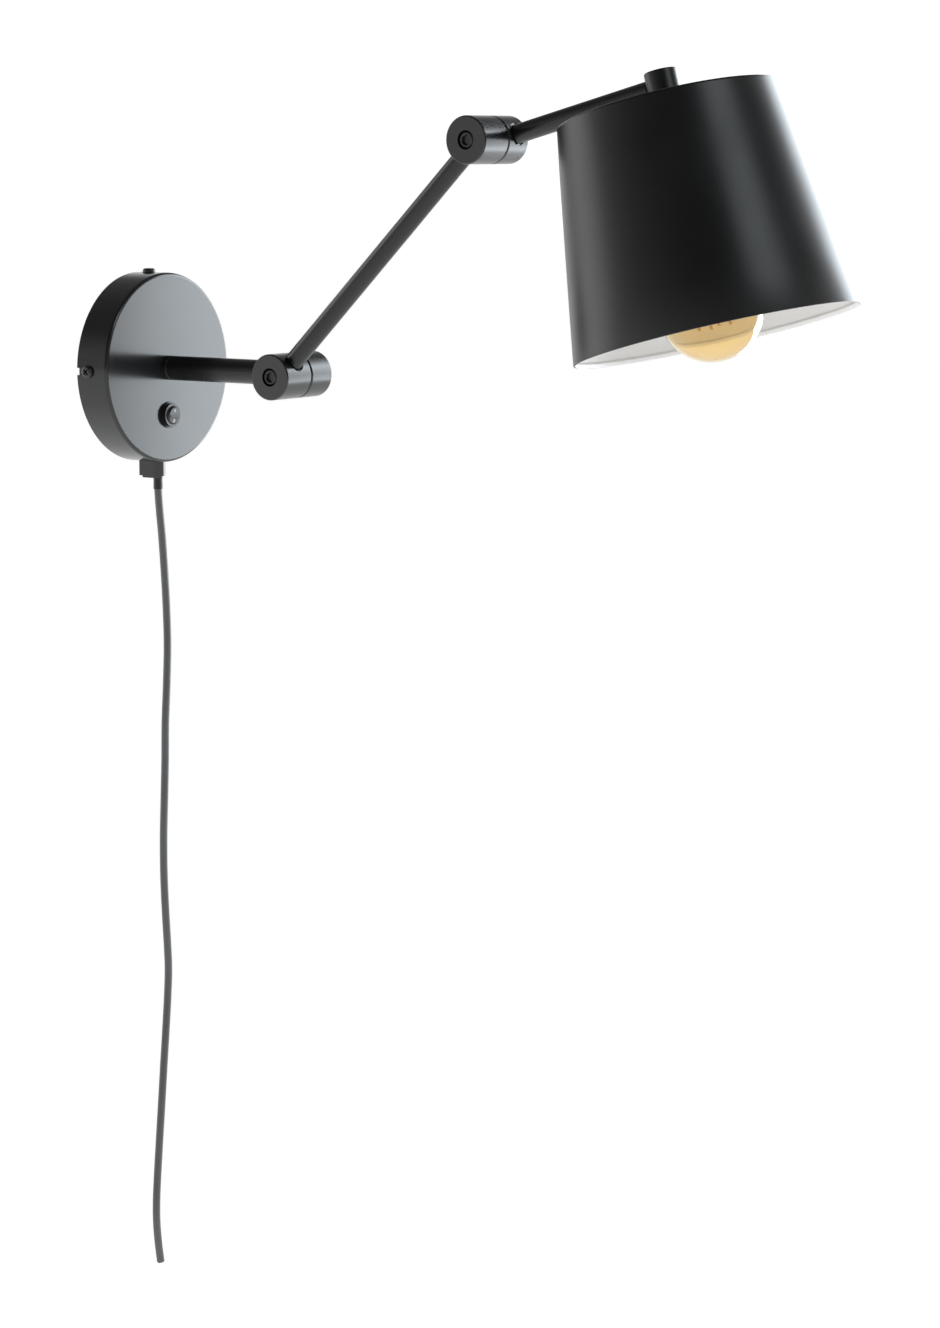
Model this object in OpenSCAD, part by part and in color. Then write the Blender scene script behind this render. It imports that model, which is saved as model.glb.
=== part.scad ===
// Wall lamp with a two-joint friction arm, a cone shade, a rocker switch on its canopy and a hanging cord.
// Millimetres. The wall is the plane Y = 0, the room is on the -Y side, +Z is up and +X is to the right
// of someone facing the wall. The origin is the centre of the canopy's back, on the wall.

/* [Canopy] */
// Outside diameter of the round canopy
canopy_d = 120; // [110:1:145]
// Depth of the canopy, from the wall to its front face
canopy_depth = 24; // [22:0.5:32]
// Sheet thickness of the canopy
canopy_wall = 1.2; // [0.8:0.1:2]
// Outside radius of the canopy's front edge
canopy_edge_r = 2; // [2:0.1:4]
// Distance from the wall to the middle of the side screws
side_screw_y = 9; // [7.5:0.5:12]
// Thread diameter of the side screws
side_screw_d = 4; // [3:0.5:5]

/* [Wall plate] */
// Thickness of the wall plate
plate_t = 1.5; // [1:0.1:2.5]
// Diameter of the window for the wires
plate_window_d = 40; // [20:1:50]
// Distance between the two screw slots
slot_spacing = 70; // [64:1:80]
// Width of each screw slot
slot_w = 4.8; // [4:0.1:6]
// Length of each screw slot, end to end
slot_len = 12; // [8:0.5:16]

/* [Switch] */
// Distance of the switch below the middle of the canopy
switch_drop = 30; // [24:0.5:38]
// Diameter of the switch's flange
switch_flange_d = 16.7; // [15:0.1:20]
// Diameter of the raised rim around the rocker
switch_rim_d = 14.9; // [14:0.1:18]
// Height of the raised rim above the canopy
switch_rim_h = 3.1; // [2:0.1:5]
// Diameter of the rocker
rocker_d = 11.2; // [9:0.1:12]
// Tilt of the rocker to each side
rocker_tilt = 7; // [4:0.5:8]

/* [Cord] */
// Diameter of the cord
cord_d = 5; // [4:0.1:6]
// Distance from the wall to the middle of the cord outlet
cord_y = 14; // [13:0.5:17]
// Width of the cord clamp
clamp_w = 9.6; // [9:0.1:14]
// Height of the cord clamp below the canopy
clamp_h = 10.7; // [8:0.1:16]
// Straight depth of the cord clamp behind its round nose
clamp_straight = 11.4; // [6:0.2:12]
// Length of the bush that shows below the clamp
bush_drop = 7.1; // [5:0.1:20]

/* [Stem] */
// Diameter of the stem
stem_d = 15.4; // [14:0.1:18]
// Wall thickness of the stem's tube
stem_wall = 1.5; // [1:0.1:2]
// Length of the fixed collar between the canopy and the stem
collar_len = 4; // [3:0.5:8]
// Distance from the wall to the first joint
stem_reach = 132.6; // [110:0.1:170]

/* [Joints] */
// Diameter of the joint barrels
knuckle_d = 28.2; // [26:0.1:34]
// Length of the barrel half that carries the lower arm
near_len = 24; // [22:0.5:30]
// Length of the barrel half on the lamp's middle plane
far_len = 20; // [19:0.5:26]
// Gap between the two halves of a joint
seam_gap = 0.8; // [0.6:0.1:1.6]
// Distance from the seam to the lower arm's middle line
near_port = 12; // [10:0.5:13]
// Thread diameter of the pivot bolts
pivot_d = 6; // [5:0.5:7]
// Diameter of the pocket around the bolt's head
head_pocket_d = 11.2; // [11:0.1:13]

/* [Arms] */
// Diameter of both arms
arm_d = 11.5; // [10.5:0.1:13]
// Wall thickness of the arms' tubes
arm_wall = 1.7; // [1.2:0.1:2]
// Length of the lower arm, from joint to joint
lower_len = 203.7; // [150:0.1:260]
// Elevation of the lower arm above level
lower_angle = 44.5; // [20:0.1:70]
// Length of the upper arm, from its joint to the shade's middle line
upper_len = 116; // [105:0.5:180]
// Elevation of the upper arm above level
upper_angle = 14.9; // [0:0.1:40]

/* [Shade] */
// Diameter of the shade's top
shade_top_d = 128.4; // [110:0.1:150]
// Diameter of the shade's mouth
shade_mouth_d = 166.6; // [150:0.1:200]
// Height of the shade
shade_h = 133.6; // [120:0.1:170]
// Sheet thickness of the shade
shade_wall = 0.8; // [0.6:0.1:1.5]
// Diameter of the knob on the shade
knob_d = 19; // [18:0.1:24]
// Height of the knob above the arm's middle line
knob_rise = 9; // [8:0.1:16]
// Height of the arm's middle line above the shade
arm_over_shade = 10.6; // [10:0.1:16]

/* [Lamp] */
// Diameter of the bulb's globe
bulb_d = 60; // [45:1:70]
// Overall length of the bulb
bulb_len = 104; // [98:1:120]
// Distance from the shade's top to the bulb's end contact
contact_depth = 44.4; // [40:0.1:52]
// Diameter of the bulb's screw cap
cap_d = 26.4; // [26:0.1:27]
// Outside diameter of the lampholder's skirt
holder_d = 37; // [34:0.5:42]

/* [Hidden] */
$fn = 96;
small_fn = 40;
arc_n = 8;
// How far a cutting shape runs past the face that it cuts
past = 1;
// Radial clearances of a running fit and of a thread, and the gap between parts that turn past each other
run_fit = 0.05;
thread_fit = 0.05;
turn_gap = 0.1;

canopy_r = canopy_d / 2;
canopy_in_r = canopy_r - canopy_wall;
face_y = -canopy_depth;
inner_face_y = face_y + canopy_wall;

// Side screws sit at 9, 12 and 3 o'clock
screw_turns = [0, 90, 180];
tab_w = 12;
tab_t = 1.5;
tab_gap = 0.6;
tab_out = sqrt(pow(canopy_in_r, 2) - pow(tab_w / 2, 2)) - tab_gap;
plate_r = tab_out - 3;
tab_end_y = side_screw_y + 6;
head_d = 2 * side_screw_d;
head_h = 0.6 * side_screw_d;

// Switch, from the canopy's face inwards
switch_flange_t = 1.1;
switch_barrel_d = switch_rim_d - 1.1;
switch_barrel_len = 13;
switch_hole_d = switch_barrel_d + 0.3;
rocker_gap = 0.3;
rocker_well_d = rocker_d + 2 * rocker_gap;
rocker_depth = 4;
rocker_axis = 1.6;
rocker_face = 3.1;
rocker_crest = 3.7;
rocker_swell = 0.1;
rocker_pin_d = 1.6;
rocker_pin_len = rocker_d + 1.4;
rocker_pin_hole = rocker_pin_len + 0.4;
switch_nut_d = switch_flange_d + 2.3;
switch_nut_t = 2.5;
blade_w = 4.8;
blade_t = 0.8;
blade_len = 4;
blade_seat = 4;
blade_pitch = 6.4;
mark_t = 0.15;
mark_out = 2.9;

// Cord outlet at the bottom of the canopy
nipple_d = 8;
nipple_bore = cord_d + 0.8;
clamp_bottom = -canopy_r - clamp_h;
clamp_edge = 1.4;
bush_d = cord_d + 0.8;
bush_flare = 0.2;
bush_bottom = clamp_bottom - bush_drop;
outlet_nut_af = 12;
outlet_nut_t = 3.5;
nipple_drop = 4;
outlet_top = -canopy_in_r + 8.5;

// Terminal block on the wall plate
block_x = -34;
block_z = -23;
block_size = [20, 11, 17];
block_foot_w = 4;
block_foot_h = 1;
pole_pitch = 8;
pole_bore = 3.2;
pole_screws = [4.5, 12.5];
pole_screw_d = 3;
pole_screw_len = 3;
wire_d = 1.8;
wire_lead = 3;
wire_end_gap = 0.05;
wire_sides = 10;
wire_pitch = 2.2;

// Swivel between the canopy and the stem
collar_y = face_y - collar_len;
spindle_d = 9.9;
spindle_bore = 7;
spindle_nut_af = 15;
spindle_nut_t = 3.5;
spindle_washer_d = 24;
spindle_washer_t = 1.2;
stem_bore = stem_d - 2 * stem_wall;
bush_len = 12;
spindle_head_d = stem_bore - 0.6;
spindle_head_t = 2;
hairline = 0.15;
hairline_bevel = 0.35;

// Joint barrels: their middle plane is X = 0 on the far half
near_seam_x = -far_len / 2 - seam_gap;
far_seam_x = -far_len / 2;
lower_x = near_seam_x - near_port;
seam_bevel = 0.6;
rim_r = 0.9;
arm_seat = 12;
port_gap = 1.2;
stem_seat = 10.4;
arm_nipple_d = arm_d - 2 * arm_wall;
arm_nipple_bore = arm_nipple_d - 2.6;
arm_nipple_in = 12;
nipple_stop = 6;
stem_plug_len = 14;
chamber_d = 21;
hub_d = 10;
chamber_past_port = 2;
head_pocket_depth = 6.4;
nut_pocket_d = 13;
nut_pocket_depth = 6;
bolt_head_d = head_pocket_d - 1.6;
bolt_head_h = 5.9;
bolt_bevel = 0.7;
socket_af = 0.95 * pivot_d;
socket_depth = 1.8;
socket_bevel = 0.8;
pivot_nut_af = 1.66 * pivot_d;
pivot_nut_t = 4;
spring_washer_t = 1;
ring_washer_w = 2.2;
arm_end_bevel = 1;

joint_1 = [0, -stem_reach, 0];
joint_2 = joint_1 + lower_len * [0, -cos(lower_angle), sin(lower_angle)];

// Shade and lampholder, measured down from the shade's top
knob_seat = sqrt(pow(knob_d / 2, 2) - pow(arm_d / 2, 2)) - 0.2;
knob_edge = 0.6;
shade_edge_r = 1.5;
hem_h = 2.4;
hem_t = 1.7;
tube_d = 9.9;
tube_bore = 7;
tube_up = arm_over_shade - arm_nipple_d / 2 - 0.3;
shade_washer_d = 24;
shade_washer_t = 1.2;
dome_top = shade_wall + shade_washer_t;
dome_h = 20;
dome_neck_d = 18;
dome_neck_h = 7;
dome_shoulder = 3;
dome_crown = 1;
dome_wall = 2;
skirt_top = dome_top + dome_h;
skirt_bottom = contact_depth + 24;
skirt_wall = 2.2;
shell_clear = 0.5;
screw_shell_d = cap_d + 2 * shell_clear;
screw_shell_t = 0.5;
insert_d = holder_d - 2 * skirt_wall - 0.4;
insert_t = 9;
insert_bottom = contact_depth - 2.6;
insert_hole_d = 2.6;
insert_hole_pitch = 8;
tongue_t = 0.5;
tongue_w = 3;
tongue_len = 6;
tongue_foot = 9;

// Bulb profile: a globe and a neck that meets the screw cap
bulb_r = bulb_d / 2;
globe_z = bulb_len - bulb_r;
cap_h = 26;
cap_thread_pitch = 3.6;
cap_thread_depth = 0.7;
neck_r = cap_d / 2 + 0.9;
glass_t = 0.8;
glass_top = cap_h - 2;
blend_angle = 52;
filament_r = 7;
filament_d = 1.8;
filament_len = 30;
filament_count = 4;

// Route of the hanging cord, chosen by hand
cord_route = [for (p = [
    [0, -52], [0, -58], [0, -65], [0, -72], [0, -79], [1.2, -92], [2.8, -105], [4.2, -120], [5.6, -138],
    [6.7, -158], [7.1, -180], [5.8, -205], [3.9, -230], [3.1, -255], [1.8, -280], [0.5, -305], [0.3, -330],
    [1.4, -355], [2.9, -378], [3.5, -394], [2.5, -410], [0.5, -430], [-2.3, -455], [-5, -480],
    [-7.8, -505], [-10.5, -530], [-12, -548], [-12.1, -562], [-10.8, -576], [-8.6, -590]
]) [p[0], -cord_y, p[1]]];
cord_sides = 10;

black = "#202124";
matt_black = "#161719";
grey_black = "#2b2c2f";
steel = "#8b8e92";
brass_tone = "#b08d45";
white = "#f2f1ec";

// ---- shared shapes ----

function arc(centre, r, from, to) = [for (i = [0:arc_n])
    let (a = from + (to - from) * i / arc_n)
    centre + r * [cos(a), sin(a)]];

// Turns a shape that is built upwards so that it grows out of the wall, with its own Y as up
module out_of_wall() {
    rotate([90, 0, 0]) children();
}

module pipe(outer, inner, length) {
    difference() {
        cylinder(d = outer, h = length);
        translate([0, 0, -past]) cylinder(d = inner, h = length + 2 * past);
    }
}

module hexagon(across_flats, height) {
    cylinder(d = across_flats / cos(30), h = height, $fn = 6);
}

module hex_nut(across_flats, bore, height) {
    difference() {
        hexagon(across_flats, height);
        translate([0, 0, -past]) cylinder(d = bore, h = height + 2 * past);
    }
}

// Points on a smooth bend from a to d that leaves a towards b and comes into d from c
bend_steps = 8;
function bend(a, b, c, d) = [for (i = [0:bend_steps]) let (t = i / bend_steps, u = 1 - t)
    u * u * u * a + 3 * u * u * t * b + 3 * u * t * t * c + t * t * t * d];

// Sweeps a round section along a route, turning each ring to the route's direction
ring_guide = [1, 1, 0];
function route_way(p, i) = let (a = p[max(i - 1, 0)], b = p[min(i + 1, len(p) - 1)]) (b - a) / norm(b - a);
function ring(p, i, r, sides) =
    let (way = route_way(p, i), u = cross(way, ring_guide) / norm(cross(way, ring_guide)), v = cross(way, u))
    [for (k = [0:sides - 1]) p[i] + r * (cos(360 * k / sides) * u + sin(360 * k / sides) * v)];

module swept_tube(p, diameter, sides) {
    points = [for (i = [0:len(p) - 1]) each ring(p, i, diameter / 2, sides)];
    last = (len(p) - 1) * sides;
    walls = [for (i = [0:len(p) - 2]) for (k = [0:sides - 1])
        [i * sides + k, (i + 1) * sides + k, (i + 1) * sides + (k + 1) % sides, i * sides + (k + 1) % sides]];
    ends = [[for (k = [0:sides - 1]) k], [for (k = [sides - 1:-1:0]) last + k]];
    polyhedron(points = points, faces = concat(walls, ends), convexity = 4);
}

module wire(route) {
    swept_tube(route, wire_d, wire_sides);
}

module straight_wire(from, to) {
    translate([0, 0, from]) cylinder(d = wire_d, h = to - from, $fn = small_fn);
}

// ---- places on the arm ----

// Origin at the first joint, Z along the lower arm
module on_lower_arm() {
    translate(joint_1) rotate([90 - lower_angle, 0, 0]) children();
}

// Origin at the second joint, Z along the upper arm, Y across it and up
module on_upper_arm() {
    translate(joint_2) rotate([90 - upper_angle, 0, 0]) children();
}

// Origin in the middle of the shade's top, Z up along the shade's own axis
module on_shade() {
    on_upper_arm() translate([0, -arm_over_shade, upper_len]) rotate([-90, 0, 0]) children();
}

// ---- canopy and wall plate ----

module wall_plate() {
    color(matt_black) difference() {
        union() {
            out_of_wall() cylinder(r = plate_r, h = plate_t);
            for (turn = screw_turns) rotate([0, -turn, 0]) {
                translate([plate_r - past, -plate_t, -tab_w / 2])
                    cube([tab_out - plate_r + past, plate_t, tab_w]);
                translate([tab_out - tab_t, -tab_end_y, -tab_w / 2]) cube([tab_t, tab_end_y, tab_w]);
            }
        }
        out_of_wall() translate([0, 0, -past]) cylinder(d = plate_window_d, h = plate_t + 2 * past);
        for (side = [-1, 1]) translate([side * slot_spacing / 2, 0, 0]) out_of_wall() wall_slot();
        for (turn = screw_turns) rotate([0, -turn, 0])
            translate([tab_out - tab_t - past, -side_screw_y, 0]) rotate([0, 90, 0])
                cylinder(d = side_screw_d + 2 * thread_fit, h = tab_t + 2 * past, $fn = small_fn);
    }
}

module wall_slot() {
    run = slot_len - slot_w;
    translate([0, 0, -past]) {
        for (side = [-1, 1]) translate([side * run / 2, 0, 0])
            cylinder(d = slot_w, h = plate_t + 2 * past, $fn = small_fn);
        translate([-run / 2, -slot_w / 2, 0]) cube([run, slot_w, plate_t + 2 * past]);
    }
}

module canopy_profile() {
    edge_in = canopy_edge_r - canopy_wall;
    polygon(concat(
        [[canopy_r, 0]],
        arc([canopy_r - canopy_edge_r, canopy_depth - canopy_edge_r], canopy_edge_r, 0, 90),
        [[0, canopy_depth], [0, canopy_depth - canopy_wall]],
        arc([canopy_in_r - edge_in, canopy_depth - canopy_wall - edge_in], edge_in, 90, 0),
        [[canopy_in_r, 0]]
    ));
}

module canopy() {
    slot = side_screw_d + 0.4;
    color(black) difference() {
        out_of_wall() rotate_extrude($fn = 180) canopy_profile();
        translate([0, inner_face_y + past, 0]) out_of_wall()
            cylinder(d = spindle_d + 2 * thread_fit, h = canopy_wall + 2 * past);
        translate([0, inner_face_y + past, -switch_drop]) out_of_wall()
            cylinder(d = switch_hole_d, h = canopy_wall + 2 * past);
        translate([0, -cord_y, -canopy_r - past])
            cylinder(d = nipple_d + 2 * thread_fit, h = canopy_wall + 3 * past, $fn = small_fn);
        for (turn = screw_turns) rotate([0, -turn, 0]) {
            translate([canopy_in_r - past, -side_screw_y, 0]) rotate([0, 90, 0])
                cylinder(d = slot, h = canopy_wall + 2 * past, $fn = small_fn);
            translate([canopy_in_r - past, -side_screw_y, -slot / 2])
                cube([canopy_wall + 2 * past, side_screw_y + past, slot]);
        }
    }
}

// Pan head with a cross recess, its seat at the origin and its head towards +Z
module pan_screw(thread, length) {
    recess = 0.55 * head_d;
    recess_w = 1;
    brim = 0.35 * head_h;
    crown_r = head_h - brim;
    difference() {
        union() {
            translate([0, 0, -length]) cylinder(d = thread, h = length, $fn = small_fn);
            rotate_extrude($fn = small_fn) polygon(concat(
                [[0, 0], [head_d / 2, 0], [head_d / 2, brim]],
                arc([head_d / 2 - crown_r, brim], crown_r, 15, 90),
                [[0, head_h]]
            ));
        }
        for (turn = [0, 90]) rotate([0, 0, turn])
            translate([-recess / 2, -recess_w / 2, 0.4 * head_h]) cube([recess, recess_w, head_h]);
    }
}

module side_screws() {
    seat_gap = 0.05;
    past_tab = 3;
    color(matt_black) for (turn = screw_turns) rotate([0, -turn, 0])
        translate([canopy_r + seat_gap, -side_screw_y, 0]) rotate([0, 90, 0]) rotate([0, 0, 45])
            pan_screw(side_screw_d, canopy_r - tab_out + tab_t + past_tab);
}

// ---- switch ----

// Origin on the canopy's face at the switch, Z towards the room and Y up
module on_switch() {
    translate([0, face_y, -switch_drop]) out_of_wall() children();
}

module switch_housing() {
    color(matt_black) on_switch() difference() {
        union() {
            cylinder(d = switch_flange_d, h = switch_flange_t);
            cylinder(d = switch_rim_d, h = switch_rim_h);
            translate([0, 0, -switch_barrel_len])
                cylinder(d = switch_barrel_d, h = switch_barrel_len + past);
        }
        translate([0, 0, -rocker_depth])
            cylinder(d = rocker_well_d, h = rocker_depth + switch_rim_h + past);
        translate([-rocker_pin_hole / 2, 0, rocker_axis]) rotate([0, 90, 0])
            cylinder(d = rocker_pin_d + 2 * run_fit, h = rocker_pin_hole, $fn = small_fn);
        for (side = [-1, 1]) translate([0, side * blade_pitch / 2, -switch_barrel_len - past])
            blade_shape(blade_seat + past);
    }
}

module blade_shape(length) {
    translate([-blade_w / 2, -blade_t / 2, 0]) cube([blade_w, blade_t, length]);
}

module switch_blades() {
    color(brass_tone) on_switch() for (side = [-1, 1])
        translate([0, side * blade_pitch / 2, -switch_barrel_len - blade_len])
            blade_shape(blade_len + blade_seat);
}

module switch_nut() {
    color(matt_black) on_switch() translate([0, 0, -canopy_wall - switch_nut_t])
        pipe(switch_nut_d, switch_barrel_d + 2 * thread_fit, switch_nut_t);
}

// The rocker at rest: its lower half is pressed in
module on_rocker() {
    on_switch() translate([0, 0, rocker_axis]) rotate([rocker_tilt, 0, 0]) children();
}

module switch_rocker() {
    color(grey_black) on_rocker() {
        difference() {
            intersection() {
                sphere(d = rocker_d + rocker_swell);
                cylinder(d = rocker_d, h = rocker_crest);
            }
            rocker_dish(1);
            rocker_dish(-1);
        }
        translate([-rocker_pin_len / 2, 0, 0]) rotate([0, 90, 0])
            cylinder(d = rocker_pin_d, h = rocker_pin_len, $fn = small_fn);
    }
}

// Each half of the rocker's face falls away from the middle line
module rocker_dish(side) {
    rotate([-side * rocker_tilt, 0, 0])
        translate([-rocker_d, side > 0 ? 0 : -2 * rocker_d, rocker_face])
            cube([2 * rocker_d, 2 * rocker_d, rocker_d]);
}

module rocker_marks() {
    bar = [0.5, 2];
    color(white) on_rocker() {
        rotate([-rocker_tilt, 0, 0]) translate([-bar[0] / 2, mark_out - bar[1] / 2, rocker_face])
            cube([bar[0], bar[1], mark_t]);
        rotate([rocker_tilt, 0, 0]) translate([0, -mark_out, rocker_face]) pipe(2.2, 1.3, mark_t);
    }
}

// ---- wiring in the canopy ----

module terminal_block() {
    color(white) translate([block_x, -plate_t, block_z]) difference() {
        union() {
            translate([-block_size[0] / 2, -block_size[1], -block_size[2] / 2])
                cube(block_size - [0, block_foot_h, 0]);
            translate([-block_foot_w / 2, -block_size[1], -block_size[2] / 2])
                cube([block_foot_w, block_size[1], block_size[2]]);
        }
        for (side = [-1, 1]) translate([side * pole_pitch / 2, -block_size[1] / 2, -block_size[2] / 2]) {
            translate([0, 0, -past]) cylinder(d = pole_bore, h = block_size[2] + 2 * past, $fn = small_fn);
            for (end = pole_screws) translate([0, 0, end]) out_of_wall()
                cylinder(d = pole_screw_d, h = block_size[1], $fn = small_fn);
        }
    }
}

module terminal_screws() {
    seat = pole_bore / 2 + 0.4;
    slot_w = 0.6;
    slot_depth = 0.8;
    color(steel) translate([block_x, -plate_t - block_size[1] / 2 - seat, block_z - block_size[2] / 2])
        for (side = [-1, 1]) for (end = pole_screws)
            translate([side * pole_pitch / 2, 0, end]) out_of_wall() difference() {
                cylinder(d = pole_screw_d - 2 * thread_fit, h = pole_screw_len, $fn = small_fn);
                translate([-pole_screw_d, -slot_w / 2, pole_screw_len - slot_depth])
                    cube([2 * pole_screw_d, slot_w, slot_depth + past]);
            }
}

// From the cord to the block and the switch, and from both into the spindle
module supply_wires() {
    side = [wire_pitch / 2, 0, 0];
    up = [0, 0, 1];
    cord_top = [0, -cord_y, cord_route[0][2] + wire_end_gap];
    pole = [block_x + pole_pitch / 2, -plate_t - block_size[1] / 2, block_z];
    pole_end = (block_size[2] / 2 - wire_lead) * up;
    blade = side + [0, face_y + switch_barrel_len + blade_len / 2, -switch_drop];
    blade_end = (blade_pitch / 2 + blade_t / 2 + wire_end_gap) * up;
    hole_in = [0, inner_face_y + spindle_washer_t + spindle_nut_t + 2, 0];
    hole_out = [0, inner_face_y, 0];
    by_wall = [0, -3, 0];
    color(grey_black) {
        wire(concat([cord_top - side], bend(
            cord_top - side + wire_lead * up, cord_top - side + 13 * up,
            pole - pole_end - 20 * up, pole - pole_end)));
        wire(concat([cord_top + side], bend(
            cord_top + side + wire_lead * up, cord_top + side + 6 * up,
            blade - blade_end - 8 * up, blade - blade_end)));
        wire(concat(bend(
            pole + pole_end, pole + pole_end + 16 * up,
            by_wall - side, hole_in - side), [hole_out - side]));
        wire(concat(bend(
            blade + blade_end, blade + blade_end + [0, 1, 14],
            by_wall + side, hole_in + side), [hole_out + side]));
    }
}

// ---- cord outlet ----

module cord_clamp() {
    color(black) difference() {
        translate([0, -cord_y, clamp_bottom]) {
            nose_block(clamp_w - 2 * clamp_edge, clamp_straight - clamp_edge, 0, clamp_edge);
            nose_block(clamp_w, clamp_straight, clamp_edge, clamp_h - clamp_edge + 2);
        }
        translate([0, past, 0]) out_of_wall() cylinder(r = canopy_r, h = canopy_depth + 2 * past, $fn = 180);
        translate([0, -cord_y, clamp_bottom - past])
            cylinder(d = bush_d + 2 * thread_fit, h = clamp_h + 2 * past, $fn = small_fn);
        translate([0, -cord_y, -canopy_r - nipple_drop])
            cylinder(d = nipple_d + 2 * thread_fit, h = nipple_drop + past, $fn = small_fn);
    }
}

// A block with a half-round nose towards the room, from z0 up
module nose_block(width, straight, z0, height) {
    translate([0, 0, z0]) {
        cylinder(d = width, h = height);
        translate([-width / 2, 0, 0]) cube([width, straight, height]);
    }
}

module clamp_nipple() {
    low = -canopy_r - nipple_drop + turn_gap;
    color(steel) translate([0, -cord_y, low]) pipe(nipple_d, nipple_bore, outlet_top - low);
}

module clamp_nut() {
    color(steel) intersection() {
        translate([0, -cord_y, -canopy_r])
            hex_nut(outlet_nut_af, nipple_d + 2 * thread_fit, outlet_nut_t + canopy_wall);
        out_of_wall() cylinder(r = canopy_in_r, h = canopy_depth, $fn = 180);
    }
}

module cord_bush() {
    color(matt_black) translate([0, -cord_y, bush_bottom]) difference() {
        union() {
            cylinder(d1 = bush_d + bush_flare, d2 = bush_d, h = bush_drop, $fn = small_fn);
            cylinder(d = bush_d, h = bush_drop + clamp_h - nipple_drop, $fn = small_fn);
        }
        translate([0, 0, -past])
            cylinder(d = cord_d + 2 * run_fit, h = bush_drop + clamp_h + 2 * past, $fn = small_fn);
    }
}

module cord() {
    color(matt_black) swept_tube(cord_route, cord_d, cord_sides);
}

// ---- swivel and stem ----

module spindle() {
    head_y = collar_y - bush_len - 3 * turn_gap;
    tail = spindle_washer_t + spindle_nut_t + 1;
    color(steel) translate([0, inner_face_y + tail, 0]) out_of_wall() difference() {
        union() {
            cylinder(d = spindle_d, h = inner_face_y + tail - head_y + past);
            translate([0, 0, inner_face_y + tail - head_y])
                cylinder(d = spindle_head_d, h = spindle_head_t);
        }
        translate([0, 0, -past]) cylinder(d = spindle_bore, h = stem_reach);
    }
}

module spindle_washer() {
    color(steel) translate([0, inner_face_y + spindle_washer_t, 0]) out_of_wall()
        pipe(spindle_washer_d, spindle_d + 2 * thread_fit, spindle_washer_t);
}

module spindle_nut() {
    color(steel) translate([0, inner_face_y + spindle_washer_t + spindle_nut_t, 0]) out_of_wall()
        hex_nut(spindle_nut_af, spindle_d + 2 * thread_fit, spindle_nut_t);
}

// A ring or tube end with a fine bevel, so that the seam between them shows
module beveled_bar(diameter, length, bevel_low, bevel_high) {
    rotate_extrude() polygon([
        [0, 0], [diameter / 2 - bevel_low, 0], [diameter / 2, bevel_low],
        [diameter / 2, length - bevel_high], [diameter / 2 - bevel_high, length], [0, length]
    ]);
}

module stem_collar() {
    color(black) translate([0, face_y, 0]) out_of_wall() difference() {
        beveled_bar(stem_d, collar_len, 0, hairline_bevel);
        translate([0, 0, -past]) cylinder(d = spindle_d + 2 * thread_fit, h = collar_len + 2 * past);
    }
}

stem_start = collar_y - hairline;
stem_end = -stem_reach + stem_seat;

module stem_tube() {
    color(black) translate([0, stem_start, 0]) out_of_wall() difference() {
        beveled_bar(stem_d, stem_start - stem_end, hairline_bevel, 0);
        translate([0, 0, -past]) cylinder(d = stem_bore, h = stem_reach);
    }
}

module stem_bearing() {
    color(brass_tone) translate([0, collar_y - hairline, 0]) out_of_wall()
        pipe(stem_bore - 2 * thread_fit, spindle_d + 2 * run_fit, bush_len);
}

module stem_plug() {
    color(steel) translate([0, stem_end + stem_plug_len - stem_seat + nipple_stop, 0]) out_of_wall()
        pipe(stem_bore - 2 * thread_fit, arm_nipple_bore, stem_plug_len);
}

module stem_wires() {
    color(grey_black) for (side = [-1, 1]) translate([side * wire_pitch / 2, 0, 0]) out_of_wall()
        straight_wire(0.5 - inner_face_y, stem_reach - nipple_stop - 1);
}

// ---- joint barrels ----

// A barrel half with its seam face at the origin and its outer face towards +Z
module barrel_half(length, port, pocket_d, pocket_depth) {
    r = knuckle_d / 2;
    chamber = port + chamber_past_port;
    difference() {
        rotate_extrude($fn = 120) polygon(concat(
            [[0, 0], [r - seam_bevel, 0], [r, seam_bevel]],
            arc([r - rim_r, length - rim_r], rim_r, 0, 90),
            [[0, length]]
        ));
        translate([0, 0, -past]) cylinder(d = pivot_d + 2 * run_fit, h = length + 2 * past);
        translate([0, 0, length - pocket_depth]) cylinder(d = pocket_d, h = pocket_depth + past);
        translate([0, 0, -past]) pipe(chamber_d, hub_d, chamber + past);
    }
}

// The seat that an arm stands in, with its threaded hole; Z along the arm
module arm_port(seat, seat_d, hole_d) {
    translate([0, 0, seat]) cylinder(d = seat_d, h = knuckle_d);
    translate([0, 0, nipple_stop - 0.2]) cylinder(d = hole_d, h = knuckle_d);
}

module near_barrel() {
    translate([near_seam_x, 0, 0]) rotate([0, -90, 0])
        barrel_half(near_len, near_port, head_pocket_d, head_pocket_depth);
}

module far_barrel() {
    translate([far_seam_x, 0, 0]) rotate([0, 90, 0])
        barrel_half(far_len, far_len / 2, nut_pocket_d, nut_pocket_depth);
}

module stem_knuckle() {
    color(black) translate(joint_1) difference() {
        far_barrel();
        rotate([-90, 0, 0]) arm_port(stem_seat, stem_d + port_gap, stem_bore);
    }
}

module lower_knuckle_1() {
    color(black) on_lower_arm() difference() {
        near_barrel();
        translate([lower_x, 0, 0]) arm_port(arm_seat, arm_d + 2 * port_gap, arm_nipple_d + 2 * thread_fit);
    }
}

module lower_knuckle_2() {
    color(black) on_lower_arm() translate([0, 0, lower_len]) rotate([180, 0, 0]) difference() {
        near_barrel();
        translate([lower_x, 0, 0]) arm_port(arm_seat, arm_d + 2 * port_gap, arm_nipple_d + 2 * thread_fit);
    }
}

module upper_knuckle() {
    color(black) on_upper_arm() difference() {
        far_barrel();
        arm_port(arm_seat, arm_d + 2 * port_gap, arm_nipple_d + 2 * thread_fit);
    }
}

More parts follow.
